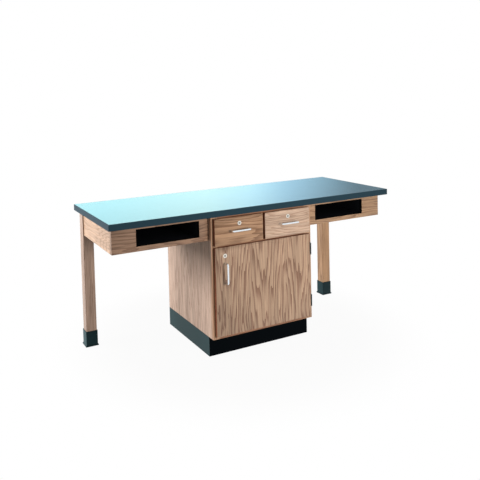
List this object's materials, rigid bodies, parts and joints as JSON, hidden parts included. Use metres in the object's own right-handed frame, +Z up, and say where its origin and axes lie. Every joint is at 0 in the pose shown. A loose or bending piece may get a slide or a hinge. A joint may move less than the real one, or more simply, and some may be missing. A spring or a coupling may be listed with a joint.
{
  "type": "laboratory workbench",
  "caption": "Free-standing laboratory workbench: dark worktop on an oak cabinet with drawers over a door, a wing with a book compartment each side and booted legs at the back.",
  "frame": {"origin": "on the floor, at the middle of the bench's outline", "axes": "+X along the bench, -Y towards the front, +Z up"},
  "size_m": [1.6764, 0.6394, 0.762],
  "materials": {
    "particleboard": "raw board",
    "worktop_laminate": "satin blue-black laminate",
    "worktop_edging": "satin blue-black edge band",
    "oak_veneer": "clear satin lacquer",
    "oak_front_veneer": "clear satin lacquer",
    "oak_solid": "clear satin lacquer",
    "dark_edging": "satin dark brown",
    "case_board": "satin",
    "birch_ply": "satin",
    "black_base": "satin black",
    "black_sheet_steel": "matt black",
    "boot_rubber": "satin black",
    "zinc_steel": "zinc plated",
    "black_hinge": "satin black",
    "pull_chrome": "bright plated",
    "lock_nickel": "nickel plated"
  },
  "bodies": {
    "root": {"worktop_core": "particleboard", "worktop_laminate": "worktop_laminate", "worktop_edge_band": "worktop_edging", "cabinet_side_left": "oak_veneer", "cabinet_side_right": "oak_veneer", "cabinet_back_panel": "oak_veneer", "cabinet_floor": "case_board", "cabinet_top_rails": "case_board", "face_frame_stiles": "oak_solid", "face_frame_rails": "oak_solid", "drawer_partition": "case_board", "drawer_deck": "case_board", "slide_spacers": "case_board", "toe_kick_boards": "black_base", "wing_front_left": "oak_veneer", "wing_front_right": "oak_veneer", "wing_end_left": "oak_veneer", "wing_end_right": "oak_veneer", "wing_back_rails": "oak_veneer", "book_box_left": "black_sheet_steel", "book_box_right": "black_sheet_steel", "leg_left": "oak_solid", "leg_right": "oak_solid", "leg_boot_left": "boot_rubber", "leg_boot_right": "boot_rubber", "corner_brackets": "zinc_steel", "hanger_bolts": "zinc_steel", "worktop_screws": "zinc_steel", "slide_outer_members": "zinc_steel", "shelf_pins": "zinc_steel", "hinge_frame_leaves": "black_hinge", "hinge_pins": "zinc_steel"},
    "door": {"door_panel": "oak_front_veneer", "door_edge_band": "dark_edging", "hinge_door_leaves": "black_hinge", "door_pull": "pull_chrome", "door_lock_barrel": "lock_nickel"},
    "door_lock": {"door_lock_plug": "lock_nickel"},
    "drawer_left": {"drawer_left_front": "oak_front_veneer", "drawer_left_edge_band": "dark_edging", "drawer_left_box": "birch_ply", "drawer_left_bottom": "birch_ply", "drawer_left_slide_inners": "zinc_steel", "drawer_left_pull": "pull_chrome", "drawer_left_lock_barrel": "lock_nickel"},
    "drawer_left_lock": {"drawer_left_lock_plug": "lock_nickel"},
    "drawer_left_middles": {"drawer_left_slide_middles": "zinc_steel"},
    "drawer_right": {"drawer_right_front": "oak_front_veneer", "drawer_right_edge_band": "dark_edging", "drawer_right_box": "birch_ply", "drawer_right_bottom": "birch_ply", "drawer_right_slide_inners": "zinc_steel", "drawer_right_pull": "pull_chrome", "drawer_right_lock_barrel": "lock_nickel"},
    "drawer_right_lock": {"drawer_right_lock_plug": "lock_nickel"},
    "drawer_right_middles": {"drawer_right_slide_middles": "zinc_steel"},
    "shelf": {"shelf": "case_board"},
    "glide_left": {"glide_left": "zinc_steel"},
    "glide_right": {"glide_right": "zinc_steel"}
  },
  "joints": [
    {"name": "door_swing", "type": "hinge", "parent": "root", "child": "door", "pos_m": [0.2922, -0.27842, 0.34542], "axis": [0, 0, 1], "range_deg": [0, 180]},
    {"name": "door_lock_turn", "type": "hinge", "parent": "door", "child": "door_lock", "pos_m": [-0.2388, -0.28292, 0.52875], "axis": [0, 1, 0], "range_deg": [0, 90]},
    {"name": "drawer_left_slide", "type": "slide", "parent": "root", "child": "drawer_left", "axis": [0, -1, 0], "range_m": [0, 0.4]},
    {"name": "drawer_left_middles_slide", "type": "slide", "parent": "root", "child": "drawer_left_middles", "axis": [0, -1, 0], "range_m": [0, 0.2]},
    {"name": "drawer_left_lock_turn", "type": "hinge", "parent": "drawer_left", "child": "drawer_left_lock", "pos_m": [-0.15145, -0.28292, 0.68525], "axis": [0, -1, 0], "range_deg": [0, 90]},
    {"name": "drawer_right_slide", "type": "slide", "parent": "root", "child": "drawer_right", "axis": [0, -1, 0], "range_m": [0, 0.4]},
    {"name": "drawer_right_middles_slide", "type": "slide", "parent": "root", "child": "drawer_right_middles", "axis": [0, -1, 0], "range_m": [0, 0.2]},
    {"name": "drawer_right_lock_turn", "type": "hinge", "parent": "drawer_right", "child": "drawer_right_lock", "pos_m": [0.14395, -0.28292, 0.68525], "axis": [0, -1, 0], "range_deg": [0, 90]},
    {"name": "shelf_lift", "type": "slide", "parent": "root", "child": "shelf", "axis": [0, 0, 1], "range_m": [0, 0.025]},
    {"name": "glide_left_screw", "type": "slide", "parent": "root", "child": "glide_left", "axis": [0, 0, -1], "range_m": [0, 0.012]},
    {"name": "glide_right_screw", "type": "slide", "parent": "root", "child": "glide_right", "axis": [0, 0, -1], "range_m": [0, 0.012]}
  ],
  "couplings": [
    {"joint": "drawer_left_middles_slide", "follows": "drawer_left_slide", "ratio": 0.5},
    {"joint": "drawer_right_middles_slide", "follows": "drawer_right_slide", "ratio": 0.5}
  ]
}
